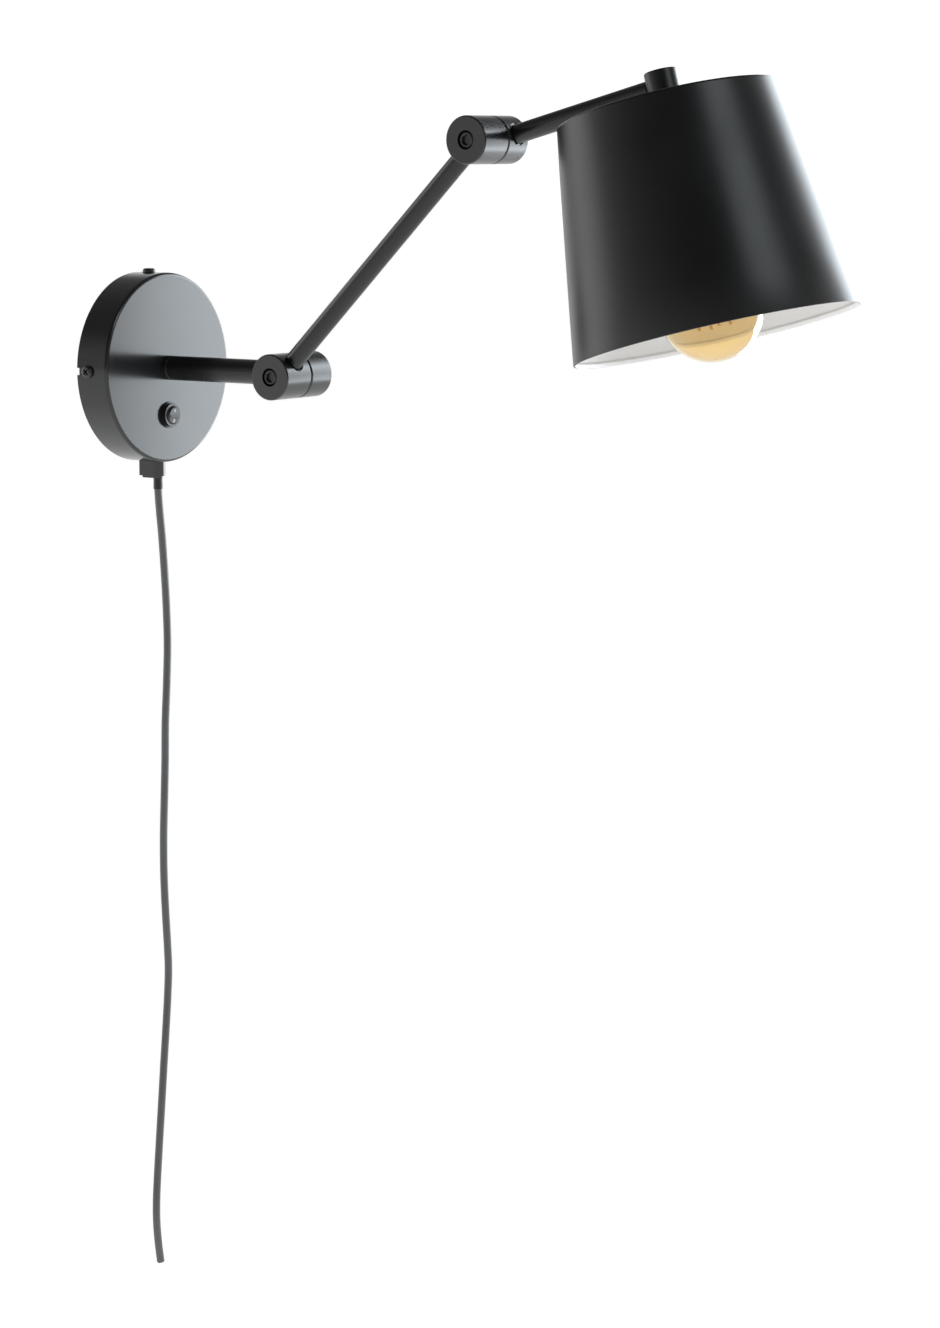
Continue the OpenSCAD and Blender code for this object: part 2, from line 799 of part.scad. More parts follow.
// One piece of each joint's pivot, repeated at both joints
module at_both_joints() {
    for (place = [joint_1, joint_2]) translate(place) children();
}

module friction_rings() {
    ring_t = seam_gap - 2 * turn_gap;
    color(matt_black) at_both_joints() translate([near_seam_x + turn_gap, 0, 0]) rotate([0, 90, 0])
        pipe(chamber_d + 2 * ring_washer_w, chamber_d + 0.4, ring_t);
}

head_seat_x = near_seam_x - near_len + head_pocket_depth;
nut_seat_x = far_seam_x + far_len - nut_pocket_depth + turn_gap;

module pivot_bolts() {
    shank = nut_seat_x - head_seat_x + spring_washer_t + pivot_nut_t + 0.4;
    color(matt_black) at_both_joints() translate([head_seat_x, 0, 0]) rotate([0, -90, 0]) difference() {
        union() {
            beveled_bar(bolt_head_d, bolt_head_h, 0, bolt_bevel);
            translate([0, 0, -shank]) cylinder(d = pivot_d - 2 * run_fit, h = shank + past);
        }
        translate([0, 0, bolt_head_h - socket_depth]) hexagon(socket_af, socket_depth + past);
        translate([0, 0, bolt_head_h - socket_bevel / 2])
            cylinder(d1 = socket_af, d2 = socket_af + 2 * socket_bevel, h = socket_bevel);
    }
}

module pivot_washers() {
    color(steel) at_both_joints() translate([nut_seat_x, 0, 0]) rotate([0, 90, 0])
        pipe(nut_pocket_d - 1, pivot_d, spring_washer_t);
}

module pivot_nuts() {
    color(steel) at_both_joints() translate([nut_seat_x + spring_washer_t, 0, 0]) rotate([0, 90, 0])
        hex_nut(pivot_nut_af, pivot_d, pivot_nut_t);
}

// ---- arms ----

// A tube between two seats; Z along it
module arm_tube(from, to) {
    translate([0, 0, from]) difference() {
        beveled_bar(arm_d, to - from, arm_end_bevel, arm_end_bevel);
        translate([0, 0, -past]) cylinder(d = arm_nipple_d + 2 * thread_fit, h = to - from + 2 * past);
    }
}

module arm_nipple(from, to) {
    translate([0, 0, from]) pipe(arm_nipple_d, arm_nipple_bore, to - from);
}

module lower_arm_tube() {
    color(black) on_lower_arm() translate([lower_x, 0, 0]) arm_tube(arm_seat, lower_len - arm_seat);
}

module lower_arm_nipples() {
    color(steel) on_lower_arm() translate([lower_x, 0, 0]) {
        arm_nipple(nipple_stop, arm_seat + arm_nipple_in);
        arm_nipple(lower_len - arm_seat - arm_nipple_in, lower_len - nipple_stop);
    }
}

module lower_arm_wires() {
    color(grey_black) on_lower_arm() for (side = [-1, 1]) translate([lower_x + side * wire_pitch / 2, 0, 0])
        straight_wire(nipple_stop + 1, lower_len - nipple_stop - 1);
}

module upper_arm_tube() {
    color(black) on_upper_arm() arm_tube(arm_seat, upper_len - knob_seat);
}

module upper_arm_nipples() {
    color(steel) on_upper_arm() {
        arm_nipple(nipple_stop, arm_seat + arm_nipple_in);
        arm_nipple(upper_len - knob_seat - arm_nipple_in, upper_len - 4);
    }
}

module upper_arm_wires() {
    drop = arm_over_shade + dome_top + 12;
    turn = 7;
    color(grey_black) on_upper_arm() for (side = [-1, 1]) translate([side * wire_pitch / 2, 0, 0])
        wire(concat([[0, 0, nipple_stop + 1]], bend(
            [0, 0, upper_len - turn], [0, 0, upper_len - 1],
            [0, -1, upper_len], [0, -turn, upper_len]), [[0, -drop, upper_len]]));
}

// ---- shade ----

module knob() {
    height = knob_rise + arm_over_shade;
    color(black) on_shade() difference() {
        beveled_bar(knob_d, height, 0, knob_edge);
        translate([0, 0, -past])
            cylinder(d = tube_d + 2 * thread_fit, h = arm_over_shade + arm_nipple_d / 2 + past);
        translate([0, 0, arm_over_shade]) rotate([-90, 0, 0]) {
            translate([0, 0, knob_seat]) cylinder(d = arm_d + 0.6, h = knob_d);
            translate([0, 0, -1]) cylinder(d = arm_nipple_d + 2 * thread_fit, h = knob_d);
        }
    }
}

// Half section of the shade's skin, with r across and z down its axis
module shade_profile() {
    slope = atan((shade_mouth_d - shade_top_d) / 2 / shade_h);
    top_r = shade_top_d / 2;
    mouth_r = shade_mouth_d / 2;
    skin = shade_wall / cos(slope);
    hem_r = mouth_r - hem_h * tan(slope);
    polygon(concat(
        [[tube_d / 2 + thread_fit, 0]],
        arc([top_r - shade_edge_r, -shade_edge_r], shade_edge_r, 90, -slope),
        [[mouth_r, -shade_h], [mouth_r - hem_t, -shade_h], [hem_r - hem_t, -shade_h + hem_h],
            [hem_r - skin, -shade_h + hem_h + hem_t], [top_r - skin, -2 * shade_edge_r],
            [top_r - skin - shade_edge_r, -shade_wall], [tube_d / 2 + thread_fit, -shade_wall]]
    ));
}

module shade() {
    color(black) on_shade() rotate_extrude($fn = 180) shade_profile();
}

module shade_tube() {
    low = -dome_top - 6;
    color(steel) on_shade() translate([0, 0, low]) pipe(tube_d, tube_bore, tube_up - low);
}

module shade_washer() {
    color(steel) on_shade() translate([0, 0, -dome_top])
        pipe(shade_washer_d, tube_d + 2 * thread_fit, shade_washer_t);
}

// ---- lampholder ----

module holder_dome() {
    outer_r = holder_d / 2;
    inner_r = outer_r - dome_wall;
    neck = dome_neck_d / 2;
    bore = tube_d / 2 + thread_fit;
    neck_end = -dome_neck_h;
    shoulder = neck_end - dome_shoulder;
    skirt = shoulder - dome_shoulder;
    color(matt_black) on_shade() translate([0, 0, -dome_top]) rotate_extrude() difference() {
        polygon([
            [bore, 0], [neck, 0], [neck, neck_end], [outer_r - dome_shoulder, shoulder],
            [outer_r, skirt], [outer_r, -dome_h], [bore, -dome_h]
        ]);
        polygon([
            [0, neck_end - dome_crown], [neck - dome_wall, neck_end - dome_wall],
            [inner_r - dome_shoulder, shoulder - dome_wall], [inner_r, skirt - dome_wall + 0.5],
            [inner_r, -dome_h - past], [0, -dome_h - past]
        ]);
    }
}

module holder_skirt() {
    length = skirt_bottom - skirt_top;
    groove_depth = 0.4;
    groove_w = 1.2;
    color(matt_black) on_shade() translate([0, 0, -skirt_bottom]) difference() {
        beveled_bar(holder_d, length, 0.8, 0);
        translate([0, 0, -past]) cylinder(d = holder_d - 2 * skirt_wall, h = length + 2 * past);
        for (low = [8, 12, 16]) translate([0, 0, low])
            pipe(holder_d + 2 * past, holder_d - 2 * groove_depth, groove_w);
    }
}

module holder_insert() {
    color(white) on_shade() translate([0, 0, -insert_bottom]) difference() {
        cylinder(d = insert_d, h = insert_t);
        for (side = [-1, 1]) translate([side * insert_hole_pitch / 2, 0, -past])
            cylinder(d = insert_hole_d, h = insert_t + 2 * past, $fn = small_fn);
    }
}

module holder_screw_shell() {
    length = skirt_bottom - insert_bottom - 2;
    color(brass_tone) on_shade() translate([0, 0, -insert_bottom - length])
        pipe(screw_shell_d + 2 * screw_shell_t, screw_shell_d, length);
}

// The middle tongue touches the bulb's end contact
module holder_contacts() {
    color(brass_tone) on_shade() translate([-tongue_len / 2, -tongue_w / 2, -contact_depth]) {
        cube([tongue_len, tongue_w, tongue_t]);
        cube([tongue_t, tongue_w, contact_depth - insert_bottom]);
        translate([0, 0, contact_depth - insert_bottom - tongue_t]) cube([tongue_foot, tongue_w, tongue_t]);
    }
}

// ---- bulb ----

// Origin at the bulb's end contact, Z along the bulb towards its tip
module on_bulb() {
    on_shade() translate([0, 0, -contact_depth]) rotate([180, 0, 0]) children();
}

// Outline of the glass at a given depth of skin, from the neck to the tip
function glass_line(skin) = concat(
    [[neck_r - skin, glass_top], [neck_r - skin, cap_h]],
    [for (i = [1:arc_n]) let (
            t = i / arc_n,
            s = t * t * (3 - 2 * t),
            r1 = (bulb_r - skin) * sin(blend_angle),
            z1 = globe_z - (bulb_r - skin) * cos(blend_angle)
        ) [neck_r - skin + (r1 - neck_r + skin) * (0.35 * t + 0.65 * s * t), cap_h + (z1 - cap_h) * t]],
    [for (i = [1:2 * arc_n]) let (a = -90 + blend_angle + (180 - blend_angle) * i / (2 * arc_n))
        [max((bulb_r - skin) * cos(a), 0), globe_z + (bulb_r - skin) * sin(a)]]
);

module bulb_glass() {
    outer = glass_line(0);
    inner = glass_line(glass_t);
    color([0.9, 0.6, 0.2, 0.4]) on_bulb() rotate_extrude($fn = 120)
        polygon(concat(outer, [for (i = [len(inner) - 1:-1:0]) inner[i]]));
}

module bulb_cap() {
    r = cap_d / 2;
    root = r - cap_thread_depth;
    brim = r + 0.4;
    eye = 4;
    low = 4.5;
    rim = cap_h - 2.05;
    turns = floor((cap_h - low - 5) / cap_thread_pitch);
    color(steel) on_bulb() difference() {
        rotate_extrude() polygon(concat(
            [[eye, 2], [r - eye, 2.6], [r - 1.2, low]],
            [for (i = [0:turns - 1]) each [
                [r, low + cap_thread_pitch * (i + 0.3)], [r, low + cap_thread_pitch * (i + 0.5)],
                [root, low + cap_thread_pitch * (i + 0.9)]]],
            [[root, cap_h - 4], [brim, cap_h - 2.5], [brim, rim], [eye, rim]]
        ));
        translate([0, 0, low]) cylinder(r = r - 1.6, h = cap_h);
    }
}

module bulb_contact() {
    color(brass_tone) on_bulb() {
        cylinder(d = 7, h = 2);
        translate([0, 0, 1.9]) cylinder(d = 5, h = 0.6);
    }
}

// Glass foot that carries the filaments
module bulb_mount() {
    foot = cap_h - 1.8;
    top = globe_z + 8;
    color([0.95, 0.95, 0.95, 0.5]) on_bulb() rotate_extrude() polygon([
        [0, foot], [cap_d / 2 - 2, foot], [7, foot + 6], [3, foot + 16], [2, foot + 22], [1.4, top - 6],
        [2.4, top - 5], [2.4, top - 3], [1, top], [0, top]
    ]);
}

module bulb_filaments() {
    base = globe_z - filament_len / 2 - 4;
    lean = 9;
    foot_r = filament_r - filament_len / 2 * sin(lean);
    color([1, 0.85, 0.5]) on_bulb() for (i = [0:filament_count - 1])
        rotate([0, 0, 45 + 360 * i / filament_count]) translate([foot_r, 0, base]) rotate([0, lean, 0])
            cylinder(d = filament_d, h = filament_len, $fn = small_fn);
}

// ---- drawing ----

wall_plate();
canopy();
side_screws();
switch_housing();
switch_nut();
switch_blades();
switch_rocker();
rocker_marks();
terminal_block();
terminal_screws();
supply_wires();
cord_clamp();
clamp_nipple();
clamp_nut();
cord_bush();
cord();
spindle();
spindle_nut();
spindle_washer();
stem_collar();
stem_tube();
stem_bearing();
stem_plug();
stem_knuckle();
stem_wires();
friction_rings();
lower_knuckle_1();
lower_knuckle_2();
lower_arm_tube();
lower_arm_nipples();
pivot_bolts();
pivot_washers();
pivot_nuts();
lower_arm_wires();
upper_knuckle();
upper_arm_tube();
upper_arm_nipples();
upper_arm_wires();
knob();
shade();
shade_tube();
shade_washer();
holder_dome();
holder_skirt();
holder_insert();
holder_contacts();
holder_screw_shell();
bulb_cap();
bulb_contact();
bulb_glass();
bulb_mount();
bulb_filaments();
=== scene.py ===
import math

import bmesh
import bpy
from mathutils import Matrix, Vector


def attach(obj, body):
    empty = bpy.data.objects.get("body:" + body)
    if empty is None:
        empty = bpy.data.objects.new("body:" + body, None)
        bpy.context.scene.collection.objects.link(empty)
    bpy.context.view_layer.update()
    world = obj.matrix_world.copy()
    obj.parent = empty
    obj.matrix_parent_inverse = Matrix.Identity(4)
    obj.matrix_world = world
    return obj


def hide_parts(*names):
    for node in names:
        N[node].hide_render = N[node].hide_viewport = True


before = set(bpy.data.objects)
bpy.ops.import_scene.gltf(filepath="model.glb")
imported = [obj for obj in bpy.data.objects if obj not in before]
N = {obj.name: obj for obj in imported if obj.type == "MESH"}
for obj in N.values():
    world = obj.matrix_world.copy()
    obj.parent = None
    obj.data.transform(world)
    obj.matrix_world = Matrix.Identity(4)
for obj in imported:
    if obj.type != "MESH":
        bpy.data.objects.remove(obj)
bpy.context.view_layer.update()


# ---------------------------------------------------------------- camera
CAM_PLACE = (-1.64745, -1.39943, 0.14124)
CAM_YAW, CAM_PITCH = 55.26, 8.82  # degrees from +Y towards +X, and down
LENS_MM, SENSOR_MM = 91.10, 36.0
CLIP_NEAR, CLIP_FAR = 0.05, 150


def make_camera():
    """Stands where the picture was taken from: the lens is fitted to the canopy, arms and shade."""
    yaw, pitch = math.radians(CAM_YAW), math.radians(CAM_PITCH)
    f = Vector((math.sin(yaw) * math.cos(pitch), math.cos(yaw) * math.cos(pitch), -math.sin(pitch)))
    r = Vector((math.cos(yaw), -math.sin(yaw), 0))
    u = r.cross(f)
    data = bpy.data.cameras.new("camera")
    data.lens, data.sensor_width = LENS_MM, SENSOR_MM
    data.clip_start, data.clip_end = CLIP_NEAR, CLIP_FAR
    cam = bpy.data.objects.new("camera", data)
    rot = Matrix((r, u, -f)).transposed().to_4x4()
    cam.matrix_world = Matrix.Translation(CAM_PLACE) @ rot
    bpy.context.scene.collection.objects.link(cam)
    bpy.context.scene.camera = cam
    return f, r


FWD, RIGHT = make_camera()


# ---------------------------------------------------------------- helpers
def add_mesh(name, verts, faces, mats, face_mat=None, smooth=True):
    me = bpy.data.meshes.new(name)
    me.from_pydata([tuple(v) for v in verts], [], faces)
    me.update()
    ob = bpy.data.objects.new(name, me)
    bpy.context.scene.collection.objects.link(ob)
    for m in mats:
        me.materials.append(m)
    for i, p in enumerate(me.polygons):
        p.use_smooth = smooth
        if face_mat:
            p.material_index = face_mat[i]
    return ob


def outward(ob):
    bm = bmesh.new()
    bm.from_mesh(ob.data)
    bmesh.ops.recalc_face_normals(bm, faces=bm.faces)
    bm.to_mesh(ob.data)
    bm.free()


def lathe(name, profile, place, mats, pick=None, sides=128, sharp=30):
    """Turns a closed outline of (radius, height) pairs about the local Z axis.

    pick gives the material of each edge of the outline.
    """
    verts, faces, fm, rings = [], [], [], []
    for r, z in profile:
        if r < 1e-7:
            rings.append([len(verts)])
            verts.append(place @ Vector((0, 0, z)))
        else:
            rings.append(list(range(len(verts), len(verts) + sides)))
            for k in range(sides):
                a = 2 * math.pi * k / sides
                verts.append(place @ Vector((r * math.cos(a), r * math.sin(a), z)))
    count = len(profile)
    for i in range(count):
        a, b = rings[i], rings[(i + 1) % count]
        if len(a) == 1 and len(b) == 1:
            continue
        for k in range(sides):
            n = (k + 1) % sides
            if len(a) == 1:
                faces.append((a[0], b[k], b[n]))
            elif len(b) == 1:
                faces.append((a[k], b[0], a[n]))
            else:
                faces.append((a[k], b[k], b[n], a[n]))
            fm.append(pick(i) if pick else 0)
    ob = add_mesh(name, verts, faces, mats, fm)
    outward(ob)
    ob.data.set_sharp_from_angle(angle=math.radians(sharp))
    return ob


def arc(cx, cz, r, a0, a1, n=6):
    """Points on an arc round (cx, cz), from angle a0 to a1 in degrees."""
    angles = [math.radians(a0 + (a1 - a0) * i / n) for i in range(n + 1)]
    return [(cx + r * math.cos(a), cz + r * math.sin(a)) for a in angles]


# ---------------------------------------------------------------- materials
def new_mat(name):
    m = bpy.data.materials.new(name)
    m.use_nodes = True
    nt = m.node_tree
    return m, nt, nt.nodes["Principled BSDF"]


def tex_noise(nt, scale, detail=4.0, rough=0.55):
    co = nt.nodes.new("ShaderNodeTexCoord")
    n = nt.nodes.new("ShaderNodeTexNoise")
    n.inputs["Scale"].default_value = scale
    n.inputs["Detail"].default_value = detail
    n.inputs["Roughness"].default_value = rough
    nt.links.new(co.outputs["Object"], n.inputs["Vector"])
    return n


def ramp(nt, src, stops):
    r = nt.nodes.new("ShaderNodeValToRGB")
    el = r.color_ramp.elements
    el[0].position, el[0].color = stops[0][0], (*stops[0][1], 1)
    el[1].position, el[1].color = stops[-1][0], (*stops[-1][1], 1)
    for p, c in stops[1:-1]:
        e = el.new(p)
        e.color = (*c, 1)
    nt.links.new(src, r.inputs["Fac"])
    return r.outputs["Color"]


def spread(nt, src, lo, hi):
    """Stretches the middle of a noise over the range from lo to hi."""
    m = nt.nodes.new("ShaderNodeMapRange")
    m.inputs["From Min"].default_value, m.inputs["From Max"].default_value = 0.3, 0.7
    m.inputs["To Min"].default_value, m.inputs["To Max"].default_value = lo, hi
    nt.links.new(src, m.inputs["Value"])
    return m.outputs["Result"]


def bump(nt, b, src, strength, dist):
    n = nt.nodes.new("ShaderNodeBump")
    n.inputs["Strength"].default_value, n.inputs["Distance"].default_value = strength, dist
    nt.links.new(src, n.inputs["Height"])
    nt.links.new(n.outputs["Normal"], b.inputs["Normal"])


def grey(v, tint=(1, 1, 1)):
    return tuple(v * t for t in tint)


PATCH_SCALE = 14
COAT_ROUGH = 0.08
PEEL_STRENGTH = 0.25


def coated(name, dark, light, rough, peel=900, peel_depth=0.00002, spec=0.5, coat=0.0):
    """Sprayed enamel or moulded plastic: fine orange peel, and slow changes of tone and gloss."""
    m, nt, b = new_mat(name)
    slow = tex_noise(nt, PATCH_SCALE, 3.0)
    fine = tex_noise(nt, peel, 2.0)
    nt.links.new(ramp(nt, slow.outputs["Fac"], [(0.3, dark), (0.7, light)]), b.inputs["Base Color"])
    nt.links.new(spread(nt, slow.outputs["Fac"], rough[0], rough[1]), b.inputs["Roughness"])
    b.inputs["Specular IOR Level"].default_value = spec
    b.inputs["Coat Weight"].default_value = coat
    b.inputs["Coat Roughness"].default_value = COAT_ROUGH
    bump(nt, b, fine.outputs["Fac"], PEEL_STRENGTH, peel_depth)
    return m


TARNISH_SCALE, MARK_SCALE, MARK_DEPTH = 60, 720, 0.00002


def metal(name, dark, light, rough):
    """Plated or turned metal with fine tool marks and slow tarnish."""
    m, nt, b = new_mat(name)
    n = tex_noise(nt, MARK_SCALE, 4, 0.5)
    slow = tex_noise(nt, TARNISH_SCALE, 3)
    nt.links.new(ramp(nt, slow.outputs["Fac"], [(0.3, dark), (0.7, light)]), b.inputs["Base Color"])
    nt.links.new(spread(nt, n.outputs["Fac"], rough[0], rough[1]), b.inputs["Roughness"])
    b.inputs["Metallic"].default_value = 1.0
    bump(nt, b, n.outputs["Fac"], 0.2, MARK_DEPTH)
    return m


COOL, WARM = (0.97, 1, 1.06), (1, 0.997, 0.992)
M = {}
M["enamel"] = coated("black_enamel", grey(0.006), grey(0.010, COOL), (0.31, 0.37),
                     peel_depth=0.00001, spec=0.44)
M["enamel_arm"] = coated("black_enamel_arm", grey(0.006), grey(0.010, COOL), (0.25, 0.30),
                         peel_depth=0.000008)
M["barrel"] = coated("black_enamel_barrel", grey(0.007), grey(0.011, (0.97, 1, 1.05)), (0.24, 0.28),
                     peel_depth=0.000006, spec=0.80)
M["canopy"] = coated("black_enamel_canopy", grey(0.010), grey(0.014, (0.95, 1, 1.08)), (0.16, 0.20),
                     peel_depth=0.000008, spec=0.60)
M["gloss"] = coated("black_gloss", grey(0.005), grey(0.008), (0.10, 0.15), spec=0.5, coat=0.4)
M["oxide"] = coated("black_oxide", grey(0.008), grey(0.02), (0.28, 0.42), peel=2200, spec=0.6)
M["plastic"] = coated("black_plastic", grey(0.008), grey(0.014), (0.24, 0.34), peel=1600)
M["rocker"] = coated("rocker_plastic", grey(0.030), grey(0.042), (0.33, 0.42), peel=1800)
M["soft"] = coated("soft_black", grey(0.010), grey(0.02), (0.36, 0.5), peel=2600, peel_depth=0.00004)
M["cord"] = coated("cord_sheath", grey(0.10), grey(0.13, (0.96, 1, 1.04)), (0.38, 0.48),
                   peel=2600, peel_depth=0.00003)
M["white"] = coated("white_marks", grey(0.72), grey(0.80), (0.4, 0.5), peel=2000)
M["inside"] = coated("shade_inside", grey(0.90, WARM), grey(0.93, WARM), (0.42, 0.52), peel=700)
M["ceramic"] = coated("ceramic", grey(0.70, (1, 0.98, 0.93)), grey(0.78, (1, 0.98, 0.94)), (0.15, 0.25),
                      peel=1200)
M["wire_brown"] = coated("wire_brown", (0.10, 0.035, 0.015), (0.14, 0.05, 0.02), (0.35, 0.45), peel=2600)
M["steel"] = metal("zinc_steel", grey(0.50), grey(0.62, (0.98, 1, 1.03)), (0.22, 0.34))
M["nickel"] = metal("nickel", grey(0.60, (1, 0.98, 0.94)), grey(0.72, (1, 0.98, 0.95)), (0.14, 0.24))
M["brass"] = metal("brass", (0.62, 0.42, 0.16), (0.74, 0.54, 0.24), (0.2, 0.32))


def glass(name, tint, rough):
    """Tinted clear glass with a very slight unevenness."""
    m, nt, b = new_mat(name)
    n = tex_noise(nt, 30, 2.0)
    dark = tuple(c * 0.985 for c in tint)
    nt.links.new(ramp(nt, n.outputs["Fac"], [(0.3, dark), (0.7, tint)]), b.inputs["Base Color"])
    b.inputs["Transmission Weight"].default_value = 1.0
    b.inputs["Roughness"].default_value = rough
    b.inputs["IOR"].default_value = 1.5
    bump(nt, b, n.outputs["Fac"], 0.1, 0.0002)
    return m


M["amber"] = glass("amber_glass", (0.965, 0.80, 0.50), 0.015)
M["clear"] = glass("clear_glass", (0.97, 0.98, 0.98), 0.02)


def filament_mat():
    m, nt, b = new_mat("filament")
    n = tex_noise(nt, 900, 2.0)
    stops = [(0.35, (0.75, 0.42, 0.08)), (0.65, (0.9, 0.62, 0.2))]
    nt.links.new(ramp(nt, n.outputs["Fac"], stops), b.inputs["Base Color"])
    b.inputs["Roughness"].default_value = 0.6
    bump(nt, b, n.outputs["Fac"], 0.4, 0.0001)
    return m


M["filament"] = filament_mat()

DRESS = {
    "enamel": ["knob", "stem_collar"],
    "canopy": ["canopy"],
    "enamel_arm": ["stem_tube", "lower_arm_tube", "upper_arm_tube"],
    "barrel": ["stem_knuckle", "lower_knuckle_1", "lower_knuckle_2", "upper_knuckle"],
    "gloss": ["cord_clamp"],
    "oxide": ["side_screws", "pivot_bolts", "wall_plate"],
    "plastic": ["switch_housing", "switch_nut", "holder_dome", "holder_skirt"],
    "rocker": ["switch_rocker"],
    "white": ["rocker_marks"],
    "soft": ["cord_bush", "friction_rings"],
    "ceramic": ["terminal_block", "holder_insert"],
    "steel": ["terminal_screws", "clamp_nipple", "clamp_nut", "spindle", "spindle_nut", "spindle_washer",
              "stem_plug", "lower_arm_nipples", "upper_arm_nipples", "pivot_washers", "pivot_nuts",
              "shade_tube", "shade_washer"],
    "brass": ["switch_blades", "stem_bearing", "holder_contacts", "holder_screw_shell", "bulb_contact"],
    "nickel": ["bulb_cap"],
    "clear": ["bulb_mount"],
    "filament": ["bulb_filaments"],
    "wire_brown": ["supply_wires", "stem_wires", "lower_arm_wires", "upper_arm_wires"],
}
for key, nodes in DRESS.items():
    for n in nodes:
        ob = N[n]
        ob.data.materials.clear()
        ob.data.materials.append(M[key])

# ---------------------------------------------------------------- cord
CORD_Y = -0.014
CORD_XZ = [
    (0, -52), (0, -58), (0, -65), (0, -72), (0, -79), (1.2, -92), (2.8, -105), (4.2, -120), (5.6, -138),
    (6.7, -158), (7.1, -180), (5.8, -205), (3.9, -230), (3.1, -255), (1.8, -280), (0.5, -305), (0.3, -330),
    (1.4, -355), (2.9, -378), (3.5, -394), (2.5, -410), (0.5, -430), (-2.3, -455), (-5, -480),
    (-7.8, -505), (-10.5, -530), (-12, -548), (-12.1, -562), (-10.8, -576), (-8.6, -590),
]
CORD = [Vector((x / 1000, CORD_Y, z / 1000)) for x, z in CORD_XZ]
CORD_R = 0.0025


def smooth_path(points, per=6):
    """Catmull-Rom points between the route's own points."""
    out = []
    for i in range(len(points) - 1):
        a, b, c, d = (points[max(0, min(len(points) - 1, j))] for j in (i - 1, i, i + 1, i + 2))
        for k in range(per):
            t = k / per
            out.append(0.5 * (2 * b + (c - a) * t + (2 * a - 5 * b + 4 * c - d) * t * t
                              + (3 * b - a - 3 * c + d) * t ** 3))
    return out + [points[-1]]


def tube(name, path, radius, mat, sides=20):
    """A round tube along a path, closed at both ends."""
    verts, faces = [], []
    u = None
    for i, p in enumerate(path):
        way = (path[min(i + 1, len(path) - 1)] - path[max(i - 1, 0)]).normalized()
        if u is None:
            u = way.orthogonal().normalized()
        u = (u - way * u.dot(way)).normalized()
        v = way.cross(u)
        for k in range(sides):
            a = 2 * math.pi * k / sides
            verts.append(p + radius * (math.cos(a) * u + math.sin(a) * v))
    for i in range(len(path) - 1):
        for k in range(sides):
            n = (k + 1) % sides
            faces.append((i * sides + k, i * sides + n, (i + 1) * sides + n, (i + 1) * sides + k))
    faces.append(tuple(range(sides - 1, -1, -1)))
    faces.append(tuple((len(path) - 1) * sides + k for k in range(sides)))
    ob = add_mesh(name, verts, faces, [mat])
    outward(ob)
    ob.data.set_sharp_from_angle(angle=math.radians(50))
    return ob


path = smooth_path(CORD)
cord = tube("hanging_cord", path, CORD_R, M["cord"])

# the two cores that show at the cut end; each starts inside the sheath, and its bare strands stand out
CORE_R, STRAND_R, CORE_OFFSET = 0.0009, 0.00045, 0.00115
CORE_START, CORE_OUT, STRAND_OUT = 0.002, 0.0004, 0.0007
end, way = path[-1], (path[-1] - path[-3]).normalized()
side = way.cross(Vector((0, 1, 0))).normalized()
cores = []
for s, letter, mat in ((-1, "a", "wire_brown"), (1, "b", "ceramic")):
    c = end + side * s * CORE_OFFSET
    start = c - way * CORE_START
    cores.append(tube(f"cord_core_{letter}", [start, c, c + way * CORE_OUT], CORE_R, M[mat], 14))
    cores.append(tube(f"cord_strands_{letter}", [start, c, c + way * STRAND_OUT], STRAND_R, M["brass"], 10))
for o in [cord, *cores]:
    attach(o, "wall_base")
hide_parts("cord")

# ---------------------------------------------------------------- places on the upper arm
STEM_REACH, LOWER_LEN, UPPER_LEN = 0.1326, 0.2037, 0.116
KNOB_TO_SHADE = 0.0106
J1 = Vector((0, -STEM_REACH, 0))
A1, A2 = math.radians(44.5), math.radians(14.9)
J2 = J1 + LOWER_LEN * Vector((0, -math.cos(A1), math.sin(A1)))
DOWN = Vector((0, -math.sin(A2), -math.cos(A2)))
KNOB = J2 + UPPER_LEN * Vector((0, -math.cos(A2), math.sin(A2)))
TOP = KNOB + KNOB_TO_SHADE * DOWN
# local Z up along the shade's axis, origin at the middle of the shade's top
UP = -DOWN
ACROSS = Vector((1, 0, 0))
SHADE = Matrix.Translation(TOP) @ Matrix((ACROSS, UP.cross(ACROSS), UP)).transposed().to_4x4()

SHADE_TOP_R, SHADE_MOUTH_R, SHADE_H, SHEET = 0.0642, 0.0833, 0.1336, 0.0008
HEM_H, HEM_T = 0.0024, 0.0017
TOP_EDGE_R = 0.0015
TOP_RINGS = (0.005, 0.02, 0.045)  # the hole for the tube, then two rings on the flat top
WALL_STEPS = (0.2, 0.4, 0.6, 0.8)


